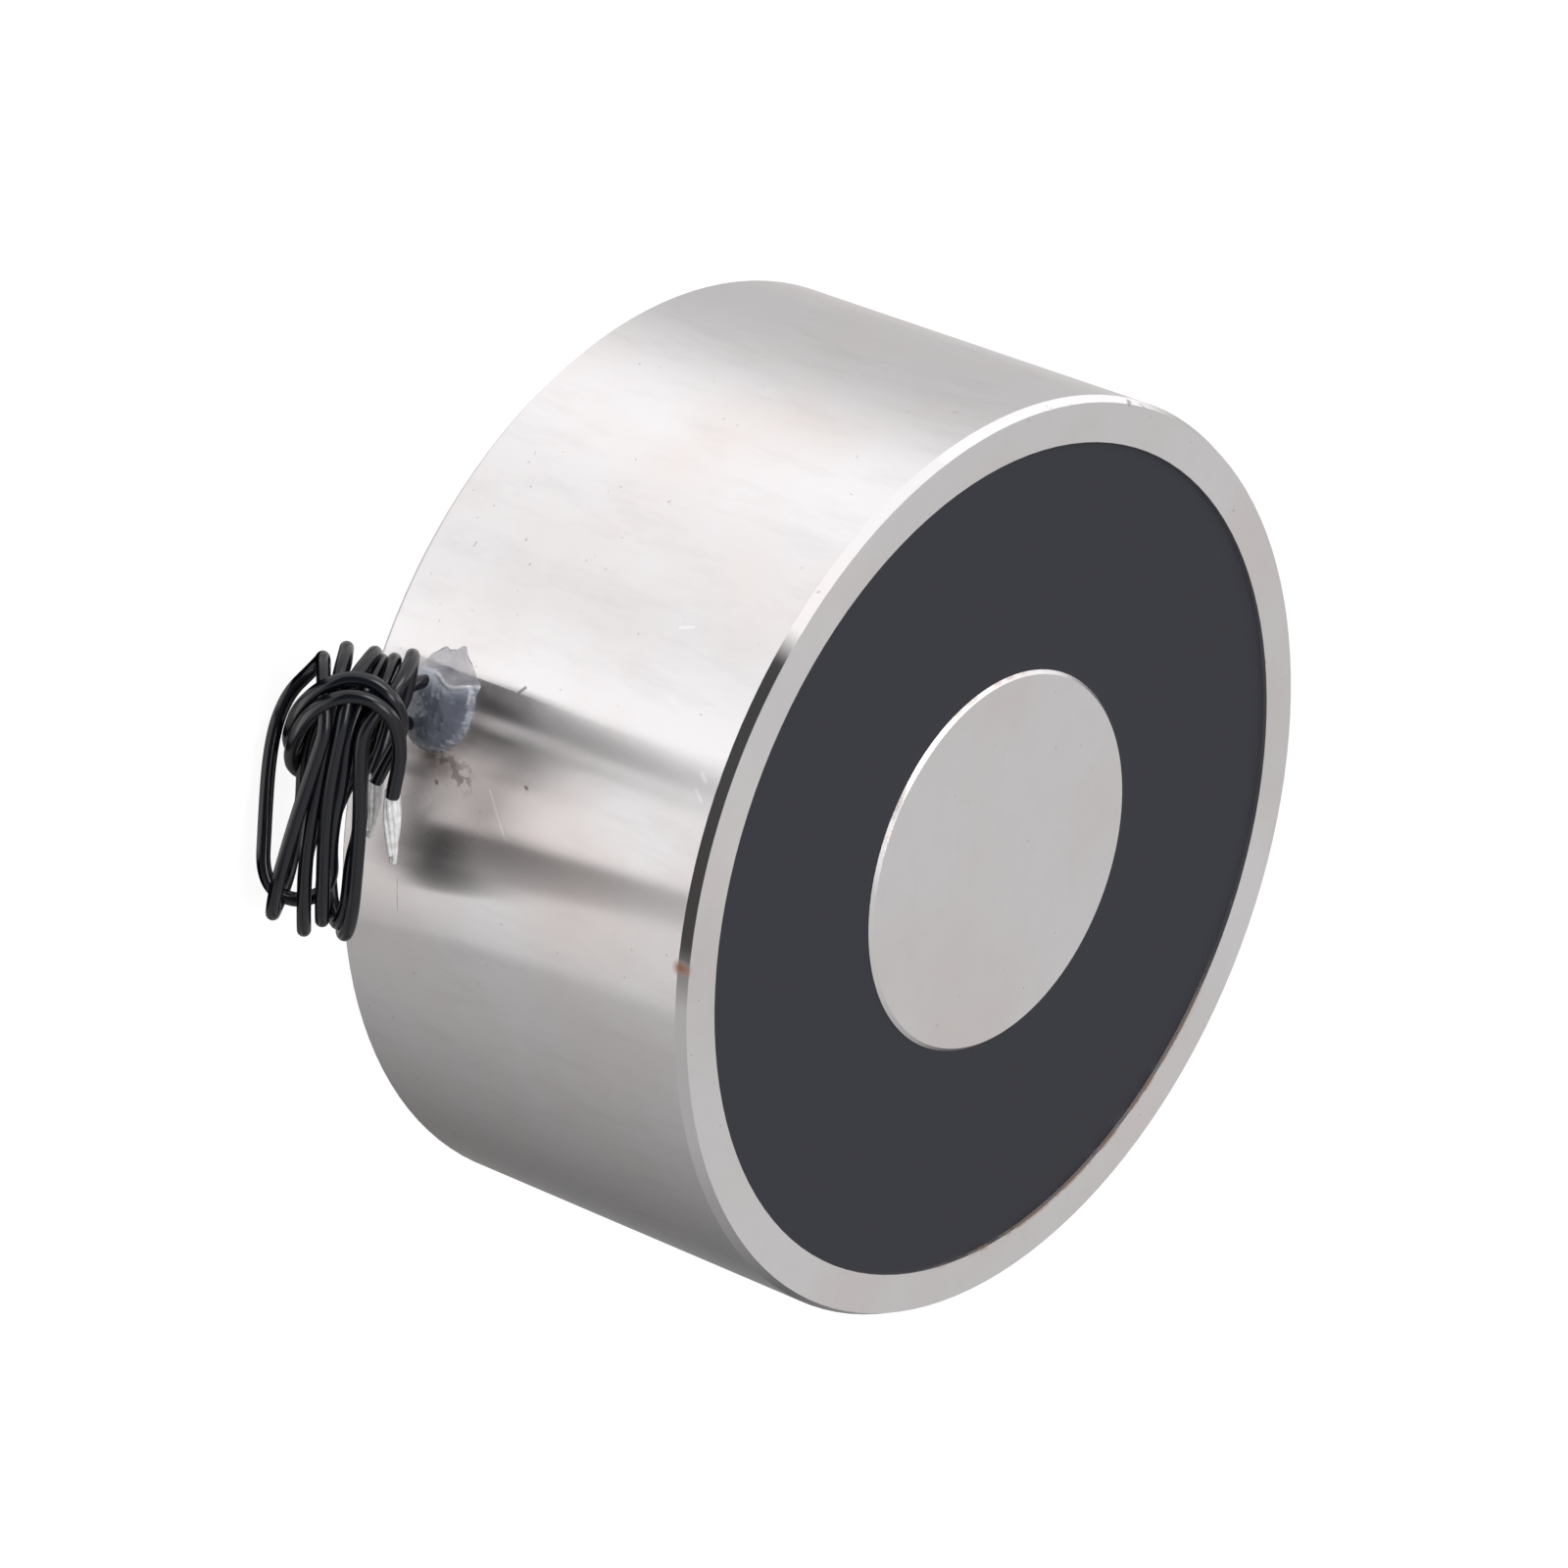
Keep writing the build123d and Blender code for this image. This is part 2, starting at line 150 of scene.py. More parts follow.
def nickel_plate(name, wall_roughness, ground_roughness, smear, edge_radius, stained_from, stained_to,
                 stain_strength, marks=()):
    """Bright satin nickel, a little warm: soft reflections with paler and pinker clouds in them, smudges
    from handling, fine dark pits, and brown steel along the sharp edge, where the plate is thinnest."""
    material, tree = new_material(name)
    place = add_node(tree, "ShaderNodeTexCoord").outputs["Object"]
    axes = add_node(tree, "ShaderNodeSeparateXYZ", {"Vector": place})
    height = axes.outputs["Z"]
    across = add_node(tree, "ShaderNodeVectorMath", {0: place, 1: Vector((1, 1, 0))}, operation="MULTIPLY")
    radius = add_node(tree, "ShaderNodeVectorMath", {0: across}, operation="LENGTH")
    bearing = add_node(tree, "ShaderNodeMath", {
        0: axes.outputs["Y"], 1: axes.outputs["X"]}, operation="ARCTAN2")
    on_face = add_node(tree, "ShaderNodeMapRange", {
        "Value": height, "From Min": chamfer_foot - 0.04 * mm, "From Max": chamfer_foot + 0.02 * mm})

    clouds = add_node(tree, "ShaderNodeTexNoise", {"Vector": place, "Scale": 1 / cloud_size, "Detail": 4.0})
    flushed = add_node(tree, "ShaderNodeMapRange", {"Value": clouds, "From Min": 0.42, "From Max": 0.66})
    colour = add_node(tree, "ShaderNodeMix", {
        0: flushed, "A": linear_colour(plate_colour), "B": linear_colour(flushed_colour)}, data_type="RGBA")

    drawn_out = add_node(tree, "ShaderNodeMapping", {
        "Vector": place, "Scale": (1.0, 1.0, smudge_width / smudge_length)})
    smudges = add_node(tree, "ShaderNodeTexNoise", {
        "Vector": drawn_out, "Scale": 1 / smudge_width, "Detail": 4.0, "Roughness": 0.65})
    smudged = add_node(tree, "ShaderNodeMapRange", {"Value": smudges, "From Min": 0.5, "From Max": 0.75})
    smudge_strength = add_node(tree, "ShaderNodeMapRange", {"Value": on_face, "To Min": 0.25, "To Max": 0.11})
    smudged = add_node(tree, "ShaderNodeMath", {0: smudged, 1: smudge_strength}, operation="MULTIPLY")
    colour = add_node(tree, "ShaderNodeMix", {
        0: smudged, "A": colour, "B": linear_colour(smudge_colour)}, data_type="RGBA")

    pits = add_node(tree, "ShaderNodeTexNoise", {"Vector": place, "Scale": 1 / pit_spacing, "Detail": 1.0})
    pitted = add_node(tree, "ShaderNodeMapRange", {
        "Value": pits, "From Min": 0.77, "From Max": 0.79, "To Max": 0.25})
    colour = add_node(tree, "ShaderNodeMix", {
        0: pitted, "A": colour, "B": linear_colour(fine_pit_colour)}, data_type="RGBA")

    bare = edge_stain(tree, height, radius, bearing, smudges, edge_radius, stained_from, stained_to,
                      stain_strength)
    colour = add_node(tree, "ShaderNodeMix", {
        0: bare, "A": colour, "B": linear_colour(stain_colour)}, data_type="RGBA")

    for start, finish, reach, mark_colour, strength, kind in marks:
        mark = mark_cover(tree, place, start, finish, reach, strength)
        if kind == "grit":
            grit = add_node(tree, "ShaderNodeTexNoise", {
                "Vector": place, "Scale": 1 / grit_spacing, "Detail": 3.0})
            specks = add_node(tree, "ShaderNodeMapRange", {"Value": grit, "From Min": 0.5, "From Max": 0.58})
            mark = add_node(tree, "ShaderNodeMath", {0: mark, 1: specks}, operation="MULTIPLY")
        if kind == "bare steel":
            bare = add_node(tree, "ShaderNodeMath", {0: bare, 1: mark}, operation="MAXIMUM")
        colour = add_node(tree, "ShaderNodeMix", {
            0: mark, "A": colour, "B": linear_colour(mark_colour)}, data_type="RGBA")

    metallic = add_node(tree, "ShaderNodeMapRange", {"Value": bare, "To Min": 1.0, "To Max": 0.15})
    roughness = add_node(tree, "ShaderNodeMapRange", {
        "Value": clouds, "From Min": 0.3, "From Max": 0.7, "To Min": wall_roughness - 0.015,
        "To Max": wall_roughness + 0.015})
    roughness = add_node(tree, "ShaderNodeMix", {0: on_face, "A": roughness, "B": ground_roughness})
    on_chamfer = add_node(tree, "ShaderNodeMapRange", {
        "Value": radius, "From Min": chamfer_rim - 0.02 * mm, "From Max": chamfer_rim + 0.02 * mm})
    on_chamfer = add_node(tree, "ShaderNodeMath", {0: on_face, 1: on_chamfer}, operation="MULTIPLY")
    roughness = add_node(tree, "ShaderNodeMix", {0: on_chamfer, "A": roughness, "B": chamfer_roughness})
    turning_lines = add_node(tree, "ShaderNodeTangent", direction_type="RADIAL", axis="Z")
    surface = add_node(tree, "ShaderNodeBsdfPrincipled", {
        "Base Color": colour, "Metallic": metallic, "Roughness": roughness, "Anisotropic": smear,
        "Anisotropic Rotation": 0.25, "Tangent": turning_lines})
    add_node(tree, "ShaderNodeOutputMaterial", {"Surface": surface})
    return material


deep_pit_colour = "#6a5a52"
rust_colour = "#9c5527"
nick_colour = "#57504c"
# Marks of handling and wear on the cup, and one painted reflection: where each starts and ends and how far it
# reaches from that line, in millimetres, then its colour, its strength and its kind
wall_marks = (
    # Painted reflection: a broad pinkish tint on the wall between the leads' reflections, above the cable
    # hole
    ((3.0, -39.9, 10.5), (10.0, -38.7, 26.0), 9.0, "#eaddda", 0.55, "tint"),
    ((3.9, -39.8, 8.2), (4.6, -39.7, 10.2), 1.5, "#a8968f", 0.55, "tint"),
    ((3.6, -39.8, 8.8), (4.9, -39.7, 12.2), 1.9, deep_pit_colour, 0.6, "grit"),
    ((5.9, -39.55, 9.6), (6.0, -39.55, 9.7), 0.28, deep_pit_colour, 0.8, "pit"),
    ((-3.9, -39.8, 15.7), (-3.4, -39.9, 15.3), 0.25, deep_pit_colour, 0.8, "pit"),
    ((-2.5, -39.9, 35.3), (-2.1, -39.9, 35.8), 0.35, "#ffffff", 0.7, "scratch"),
    ((-1.2, -40.0, 35.2), (-0.5, -40.0, 36.0), 0.25, "#ffffff", 0.6, "scratch"),
    ((-12.7, -37.9, 27.4), (-13.1, -37.8, 28.6), 0.22, "#ffffff", 0.6, "scratch"),
    ((14.9, -37.1, 6.8), (17.5, -36.0, 6.9), 0.07, "#7c7472", 0.6, "scratch"),
    ((4.9, -39.7, 15.2), (8.5, -39.1, 17.9), 0.10, "#ffffff", 0.9, "scratch"),
    ((3.6, -39.8, 18.7), (3.7, -39.8, 18.9), 0.22, deep_pit_colour, 0.9, "pit"),
    ((12.9, -37.85, 37.3), (13.1, -37.8, 37.9), 0.95, rust_colour, 0.9, "bare steel"),
    ((-39.9, -1.4, 37.6), (-39.7, -1.9, 38.0), 0.4, nick_colour, 0.9, "bare steel"),
    ((-39.8, 0.2, 37.7), (-39.7, 0.4, 38.0), 0.25, nick_colour, 0.8, "bare steel"),
)
cup_plate = nickel_plate(
    "nickel plate on the turned cup", wall_roughness=0.26, ground_roughness=0.2, smear=1.0,
    edge_radius=bore_radius, stained_from=12, stained_to=82, stain_strength=0.75, marks=wall_marks)
finish_cad_node("pot", cup_plate)


# Pole core: the same steel, turned, pressed into the base by its spigot and plated alike. Only its
# ground face shows, which is evenly dull, with a faint stain along its lower edge.
pole_radius = round(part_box("pole_core")[1].x, 4)
finish_cad_node("pole_core", nickel_plate(
    "nickel plate on the ground pole", wall_roughness=0.3, ground_roughness=0.3, smear=0.0,
    edge_radius=pole_radius, stained_from=-178, stained_to=-80, stain_strength=0.3))


# Back thread: M8, cut into the core from behind and plated as the cup is. The solid model keeps the plain
# wall of the drilled hole, so the crests are drawn standing inward from it, where a tap would cut grooves
# outward. Its sizes are in millimetres.
def ease(low, high, value):
    """A smooth step from 0 at the low value to 1 at the high one."""
    share = min(max((value - low) / (high - low), 0.0), 1.0)
    return share * share * (3 - 2 * share)


def add_mesh_piece(name, built):
    """A new piece in the scene from a mesh that was built face by face."""
    data = bpy.data.meshes.new(name)
    built.to_mesh(data)
    built.free()
    return add_object(name, data)


thread_pitch = 1.25
thread_turns = 11
thread_steps = 40
thread_wall = 3.43
thread_crest = 3.08
thread_start = 0.9
flank_width = 0.52
crest_width = 0.09
run_in_turns = 0.7
thread_mesh = bmesh.new()
rows = []
for step in range(thread_turns * thread_steps + 1):
    angle = tau * step / thread_steps
    lift = thread_start + thread_pitch * step / thread_steps
    run_in = min(step, thread_turns * thread_steps - step) / thread_steps
    crest = thread_wall - (thread_wall - thread_crest) * ease(0.0, run_in_turns, run_in)
    profile = ((thread_wall, -flank_width), (crest, -crest_width),
               (crest, crest_width), (thread_wall, flank_width))
    rows.append([thread_mesh.verts.new(Vector((radius * cos(angle), radius * sin(angle), lift + rise)) * mm)
                 for radius, rise in profile])
for before, after in zip(rows, rows[1:]):
    for corner in range(4):
        beside = (corner + 1) % 4
        thread_mesh.faces.new((before[corner], before[beside], after[beside], after[corner]))
thread_mesh.faces.new(rows[0])
thread_mesh.faces.new(rows[-1])
bmesh.ops.recalc_face_normals(thread_mesh, faces=thread_mesh.faces)
back_thread = add_mesh_piece("back_thread", thread_mesh)
back_thread.data.materials.append(cup_plate)
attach(back_thread, "root")


# Coil: enamelled copper wire wound on a moulded nylon bobbin and held by a turn of yellow polyester
# tape. The potting hides it, with the two ends of the winding.
def dull_plastic(name, colour, dark_colour, roughness, grain_size, grain_depth, specular_level=0.5):
    """A smooth, dull plastic whose colour and gloss drift a little, with a fine moulded grain."""
    material, tree = new_material(name)
    place = add_node(tree, "ShaderNodeTexCoord").outputs["Object"]
    drift = add_node(tree, "ShaderNodeTexNoise", {"Vector": place, "Scale": 1 / drift_size, "Detail": 5.0})
    grain = add_node(tree, "ShaderNodeTexNoise", {"Vector": place, "Scale": 1 / grain_size, "Detail": 3.0})
    mixed = add_node(tree, "ShaderNodeMix", {
        0: drift, "A": linear_colour(dark_colour), "B": linear_colour(colour)}, data_type="RGBA")
    gloss = add_node(tree, "ShaderNodeMapRange", {
        "Value": drift, "To Min": roughness - 0.06, "To Max": roughness + 0.06})
    bump = add_node(tree, "ShaderNodeBump", {"Height": grain, "Strength": 0.3, "Distance": grain_depth})
    surface = add_node(tree, "ShaderNodeBsdfPrincipled", {
        "Base Color": mixed, "Roughness": gloss, "Normal": bump, "Specular IOR Level": specular_level})
    add_node(tree, "ShaderNodeOutputMaterial", {"Surface": surface})
    return material


def wound_layers(name, colour, dark_colour, metallic, roughness, pitch, depth):
    """Fine rings round the magnet's axis, with painted shade darkening the gaps between them: wound wire, or
    the edge of a wound tape.
    """
    material, tree = new_material(name)
    place = add_node(tree, "ShaderNodeTexCoord").outputs["Object"]
    drift = add_node(tree, "ShaderNodeTexNoise", {"Vector": place, "Scale": 1 / patch_size, "Detail": 3.0})
    # The wave texture runs through 20 radians in each unit of its scale
    rings = add_node(tree, "ShaderNodeTexWave", {
        "Vector": place, "Scale": tau / 20 / pitch, "Distortion": 0.4}, bands_direction="Z").outputs["Fac"]
    # Painted shade: darker between the rings, varied in random patches
    lit = add_node(tree, "ShaderNodeMath", {0: rings, 1: drift}, operation="MULTIPLY")
    lit = add_node(tree, "ShaderNodeMapRange", {"Value": lit, "From Min": 0.1, "From Max": 0.5})
    mixed = add_node(tree, "ShaderNodeMix", {
        0: lit, "A": linear_colour(dark_colour), "B": linear_colour(colour)}, data_type="RGBA")
    bump = add_node(tree, "ShaderNodeBump", {"Height": rings, "Strength": 0.6, "Distance": depth})
    surface = add_node(tree, "ShaderNodeBsdfPrincipled", {
        "Base Color": mixed, "Metallic": metallic, "Roughness": roughness, "Normal": bump})
    add_node(tree, "ShaderNodeOutputMaterial", {"Surface": surface})
    return material


drift_size = 16.7 * mm
patch_size = 3.33 * mm
# Nylon in its own milky cream, as it comes from the mould
nylon = dull_plastic("moulded natural nylon", "#e9e4d3", "#dcd5c0", roughness=0.45, grain_size=0.6 * mm,
                     grain_depth=0.02 * mm)
finish_cad_node("bobbin", nylon)
# Clear reddish enamel over copper, so that each turn shines, with painted shade darkening the gaps between
# the turns
enamel = wound_layers("enamelled copper wire", "#b4612f", "#5e2a15", metallic=0.85, roughness=0.25,
                      pitch=0.5 * mm, depth=0.1 * mm)
for name in ("coil_winding", "start_tail", "finish_tail"):
    finish_cad_node(name, enamel)
# Glossy yellow film, one tape width high, with painted shade along the edges of its wound layers
yellow_tape = wound_layers("yellow polyester tape", "#d9ab3a", "#c0902a", metallic=0.0, roughness=0.3,
                           pitch=12.0 * mm, depth=0.03 * mm)
finish_cad_node("winding_tape", yellow_tape)


# Joints: the winding's two ends are soldered to the stripped leads, and a sleeve is shrunk over each
# joint. They stand in the free space round the winding, above the cable hole.
def bright_metal(name, colour, dark_colour, roughness, grain_size):
    """A bright skin of metal, a little uneven, with painted shade as darker streaks in its hollows."""
    material, tree = new_material(name)
    place = add_node(tree, "ShaderNodeTexCoord").outputs["Object"]
    grain = add_node(tree, "ShaderNodeTexNoise", {"Vector": place, "Scale": 1 / grain_size, "Detail": 5.0})
    # Painted shade: the hollows of the grain are darker than its crests
    crest_light = add_node(tree, "ShaderNodeMapRange", {"Value": grain, "From Min": 0.35, "From Max": 0.6})
    mixed = add_node(tree, "ShaderNodeMix", {
        0: crest_light, "A": linear_colour(dark_colour), "B": linear_colour(colour)}, data_type="RGBA")
    gloss = add_node(tree, "ShaderNodeMapRange", {
        "Value": grain, "To Min": roughness - 0.08, "To Max": roughness + 0.12})
    bump = add_node(tree, "ShaderNodeBump", {"Height": grain, "Strength": 0.35, "Distance": grain_size / 8})
    surface = add_node(tree, "ShaderNodeBsdfPrincipled", {
        "Base Color": mixed, "Metallic": 0.2, "Roughness": gloss, "Normal": bump})
    add_node(tree, "ShaderNodeOutputMaterial", {"Surface": surface})
    return material


# Dipped tin, frozen in white lumps, so it scatters light more than it mirrors
tin = bright_metal("tin over copper strands", "#ffffff", "#e4e3e2", roughness=0.3, grain_size=0.6 * mm)
# Polyolefin, dull black and slightly wrinkled by the heat
shrunk_tube = dull_plastic("shrunk black polyolefin sleeve", "#141416", "#0c0c0e", roughness=0.5,
                           grain_size=0.5 * mm, grain_depth=0.03 * mm, specular_level=0.4)
for side in ("a", "b"):
    finish_cad_node("splice_" + side, tin)
    finish_cad_node("sleeve_" + side, shrunk_tube)


# Leads: two stranded copper wires in soft black PVC, 1.2 mm over the insulation. Both leave the
# sealant, are folded into three flat loops each and are then wrapped once round all of these.
mouth = Vector((0.0, -magnet_radius, 7.8 * mm))
# The hank's own axes: across its loops, along them, and out of the face that is turned to the viewer
hank_middle = Vector((8.85, -47.7, 7.0)) * mm
hank_side = Vector((-0.2949, 0.5787, 0.7603))
hank_along = Vector((-0.8978, -0.4407, 0.0175))
hank_front = Vector((0.3328, -0.653, 0.6811))
lead_radius = 0.6 * mm
# A spline cuts inside its points, so a fold's points stand out a little further than the fold
fold_slack = 1.07
fold_steps = 4


def hank_place(side, along, front):
    """A place in the hank, in millimetres from its middle, as a point of the frame."""
    return hank_middle + (hank_side * side + hank_along * along + hank_front * front) * mm


def fold(along, way, start, finish, sides):
    """The half turn at one end of the loops, from one face of the hank round to the other."""
    middle = (start + finish) / 2
    reach = (start - finish) / 2 * fold_slack
    turns = [pi * step / fold_steps for step in range(len(sides))]
    return [hank_place(side, along + way * abs(reach) * sin(turn), middle + reach * cos(turn))
            for turn, side in zip(turns, sides)]


def run(*places):
    """Points along one run of a lead, each given as side, along and front."""
    return [hank_place(*place) for place in places]


lead_points = {
    "a": [mouth + Vector((-1.7, 1.0, -1.2)) * mm, mouth + Vector((-1.7, -1.3, -1.2)) * mm]
    + run((5.35, 6.6, -6.6), (4.1, 5.7, -5.6), (3.0, 4.0, -5.4), (1.9, 2.0, -5.5), (0.4, -0.5, -5.3),
          (-1.1, -3.1, -4.6), (-2.4, -5.7, -4.0))
    + fold(-8.2, -1, -3.9, 3.4, (-2.9, -3.0, -2.95, -2.95, -2.95))
    + run((-2.8, -4.2, 3.5), (-2.4, -0.7, 3.5), (-1.75, 2.8, 3.4), (-1.1, 5.9, 3.2))
    + fold(9.3, 1, 3.1, -3.9, (-0.45, -0.1, 0.5, 0.5, 0.3))
    + run((-1.1, 6.6, -4.0), (-2.5, 4.2, -3.6), (-3.0, 1.2, -3.3), (-3.1, -2.6, -3.4))
    + fold(-6.15, -1, -3.3, 4.3, (-3.7, -4.4, -5.4, -5.5, -5.2))
    + run((-4.6, -3.9, 4.2), (-3.65, -0.4, 4.1), (-2.6, 3.2, 4.1), (-1.75, 6.0, 4.1))
    + fold(8.4, 1, 4.0, -3.9, (-1.1, -1.35, -1.35))
    + run((-1.5, 10.6, -3.5), (-2.6, 9.1, -4.0), (-3.95, 7.9, -3.5), (-4.9, 6.3, -2.6), (-5.45, 4.5, -1.8),
          (-5.8, 2.2, -1.1), (-6.0, -0.4, -0.4), (-6.15, -3.2, 0.3), (-6.3, -6.0, 0.9), (-5.5, -8.0, 1.2),
          (-3.5, -8.85, 1.4), (-1.5, -8.0, 1.7), (-0.65, -6.0, 2.4), (-0.8, -3.2, 3.1), (-0.5, -0.3, 3.3),
          (0.15, 3.0, 3.3), (0.45, 5.6, 3.2))
    + fold(7.45, 1, 3.1, -4.8, (0.7, 1.9, 3.3, 3.4, 3.2))
    + run((3.1, 5.0, -4.9), (2.8, 2.9, -5.0), (2.0, 1.0, -5.6), (0.6, -0.5, -6.3), (-1.3, -1.2, -6.5),
          (-3.0, -0.7, -5.5), (-3.9, 0.8, -3.9), (-4.05, 2.8, -2.0), (-3.75, 5.0, 0.1), (-3.2, 7.4, 2.1),
          (-2.2, 9.5, 3.7), (-0.8, 11.0, 4.6), (0.9, 11.5, 4.8), (2.6, 11.1, 4.9), (3.9, 9.9, 4.8),
          (4.6, 8.1, 4.3), (4.8, 6.1, 3.8), (4.65, 4.2, 3.5), (4.35, 2.6, 3.3), (4.2, 1.6, 3.2)),
    "b": [mouth + Vector((1.95, 1.0, -1.5)) * mm, mouth + Vector((1.95, -1.3, -1.5)) * mm]
    + run((4.0, 3.3, -5.7), (2.75, 2.6, -4.75), (1.6, 1.0, -4.3), (0.5, -1.1, -4.1), (-0.5, -3.6, -4.0))
    + fold(-6.95, -1, -3.8, 3.9, (-1.2, -1.5, -1.5, -1.45, -1.4))
    + run((-1.35, -4.0, 3.95), (-1.2, -0.5, 3.9), (-0.8, 3.1, 3.9), (-0.3, 6.0, 3.9))
    + fold(8.7, 1, 3.9, -3.8, (0.2, 0.8, 2.6, 2.9, 2.8))
    + run((2.6, 6.2, -3.6), (1.6, 3.4, -2.9), (0.1, 0.3, -2.6), (-0.85, -3.2, -3.0))
    + fold(-7.85, -1, -4.3, 2.9, (-0.95, -0.8, -0.45, 0.0, 0.6))
    + run((0.85, -4.5, 2.9), (1.6, -1.6, 2.8), (1.65, 1.5, 2.8), (1.7, 5.2, 2.8))
    + fold(8.0, 1, 2.9, -4.3, (2.0, 3.5, 4.3, 4.4, 4.3))
    + run((4.1, 5.4, -3.9), (3.3, 2.6, -3.0), (2.3, 0.0, -2.8), (1.7, -2.7, -3.1), (1.5, -5.4, -3.6))
    + fold(-8.2, -1, -3.9, 3.9, (1.2, 0.6, 0.1, 0.5, 1.0))
    + run((1.3, -4.4, 3.95), (1.55, -0.7, 3.9), (1.6, 3.0, 3.9), (1.6, 6.5, 3.95))
    + fold(8.45, 1, 3.7, -3.9, (2.0, 4.8, 5.8, 5.8, 5.6))
    + run((5.0, 5.9, -4.6), (3.9, 4.2, -5.6), (2.2, 2.8, -6.3), (0.2, 1.6, -6.7), (-1.9, 1.0, -6.5),
          (-3.6, 1.4, -5.3), (-4.2, 3.2, -3.4), (-4.05, 5.4, -1.2), (-3.5, 8.2, 1.0), (-2.3, 10.6, 2.9),
          (-0.8, 12.0, 3.6), (1.1, 12.5, 3.6), (2.9, 12.1, 3.9), (4.2, 10.9, 4.2), (4.9, 9.0, 3.5),
          (4.9, 7.0, 2.4), (4.3, 5.2, 1.7), (3.6, 3.7, 1.4), (2.85, 2.0, 1.25)),
}

# Soft PVC, glossy enough for thin pale lines along each turn. Its grain is drawn coarser than it is
insulation = dull_plastic("black PVC insulation", "#10121c", "#090a11", roughness=0.2, grain_size=1.2 * mm,
                          grain_depth=0.01 * mm)
leads = {}
for side, points in lead_points.items():
    curve = bpy.data.curves.new("lead_" + side, "CURVE")
    curve.dimensions = "3D"
    curve.bevel_depth = lead_radius
    curve.bevel_resolution = 5
    curve.use_fill_caps = True
    spline = curve.splines.new("NURBS")
    spline.points.add(len(points) - 1)
    for control, point in zip(spline.points, points):
        control.co = (*point, 1.0)
    spline.order_u = 3
    spline.use_endpoint_u = True
    spline.resolution_u = 6
    curve.materials.append(insulation)
    lead = add_object("lead_" + side, curve)
    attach(lead, "root")
    leads[side] = lead
    finish_cad_node("inner_lead_" + side, insulation)


# Stripped ends: each lead's own strands, bared for soldering and dipped in tin, so that they are fused
# in lumps near the insulation and stand a little apart at the tips.
strand_count = 9
strand_steps = 5
strand_radius = 0.23 * mm
bundle_radius = 0.36 * mm
strand_sway = 0.1 * mm
inside_insulation = 0.6 * mm
tin_voxel = 0.05 * mm
for side, tip, spread in (
        ("a", hank_place(4.2, -4.4, 3.2), 0.52 * mm), ("b", hank_place(2.2, -3.0, 1.2), 0.50 * mm)):
    top = lead_points[side][-1]
    axis = (tip - top).normalized()
    across = axis.cross(hank_front).normalized()
    out = across.cross(axis)
    strands = bpy.data.curves.new("strands_" + side, "CURVE")
    strands.dimensions = "3D"
    strands.bevel_depth = strand_radius
    strands.bevel_resolution = 2
    strands.use_fill_caps = True
    for number in range(strand_count):
        # The first strand is the middle one, and two of the others stand out past the rest
        turn = tau * number / (strand_count - 1)
        from_middle = 0.0 if number == 0 else 1.0
        reach = 1.0 if number in (2, 5) else 0.8 + 0.04 * (number % 3)
        spline = strands.splines.new("NURBS")
        spline.points.add(strand_steps)
        for step, control in enumerate(spline.points):
            share = step / strand_steps
            swing = turn + 0.9 * share
            width = bundle_radius + (spread - bundle_radius) * sin(pi * share)
            width *= from_middle * (1.0 - 0.6 * share ** 3)
            sway = strand_sway * noise.noise(Vector((number * 1.7, share * 2.0, 3.0)))
            point = top + axis * ((tip - top).length * reach * share - inside_insulation * (1 - share))
            point += across * (width * cos(swing) * 1.15 + sway) + out * (width * sin(swing) * 0.6)
            control.co = (*point, 1.0)
        spline.order_u = 4
        spline.use_endpoint_u = True
    rough = bpy.data.objects.new("strands_" + side, strands)
    end_mesh = bpy.data.meshes.new_from_object(rough)
    bpy.data.objects.remove(rough)
    tinned = add_object("tinned_end_" + side, end_mesh)
    fuse = tinned.modifiers.new("solder", "REMESH")
    fuse.mode = "VOXEL"
    fuse.voxel_size = tin_voxel
    fuse.use_smooth_shade = True
    tinned.data.materials.clear()
    tinned.data.materials.append(tin)
    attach(tinned, "root")
    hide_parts("bare_end_" + side)

for side, lead in leads.items():
    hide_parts("lead_tube_" + side, "lead_hank")


# Potting: filled epoxy, poured over the coil and cured a little below the poles. Being filled and
# dusty it is a very dark grey rather than black, smooth and without a clear reflection.
finish_cad_node("potting", dull_plastic(
    "black potting epoxy", "#2e2f37", "#282931", roughness=0.6, grain_size=0.4 * mm, grain_depth=0.02 * mm,
    specular_level=0.35))


# Sealant: grey translucent silicone pressed into the cable hole round both leads. It stands out as a
# low dome with a lip on one side, and a thin torn film of it is smeared over the wall beside it. Its
# sizes are in millimetres.
def wall_place(round_distance, height, rise):
    """A place on the cup's wall: millimetres round from the hole, up from it, and out from the wall."""
    angle = -pi / 2 + round_distance * mm / magnet_radius
    radius = magnet_radius + rise * mm
    return Vector((radius * cos(angle), radius * sin(angle), mouth.z + height * mm))


dome_radius = 3.85
dome_rise = 1.4
lip_rise = 0.22
lip_width = 0.2
edge_fade = 0.35
edge_sink = 0.01
hole_radius = 3.3
plug_depth = 3.9
under_skin = 0.03
# How far the film reaches past the dome, in millimetres, by the angle from the hole's right-hand side
film_outline = ((95, 0.0), (118, 0.05), (127, 0.7), (145, 0.59), (160, 0.85), (166, 1.0), (171, 1.5),
                (175, 1.5), (180, 0.95), (188, 0.85), (193, 1.1), (197, 1.0), (203, 0.7), (214, 0.49),
                (226, 0.1), (240, 0.0))


def ridge_side(height):
    """Where the lip of the sealant runs, as millimetres round from the hole at a height from it."""
    return -2.7 + 0.8 * exp(-((height - 1.5) / 1.3) ** 2)


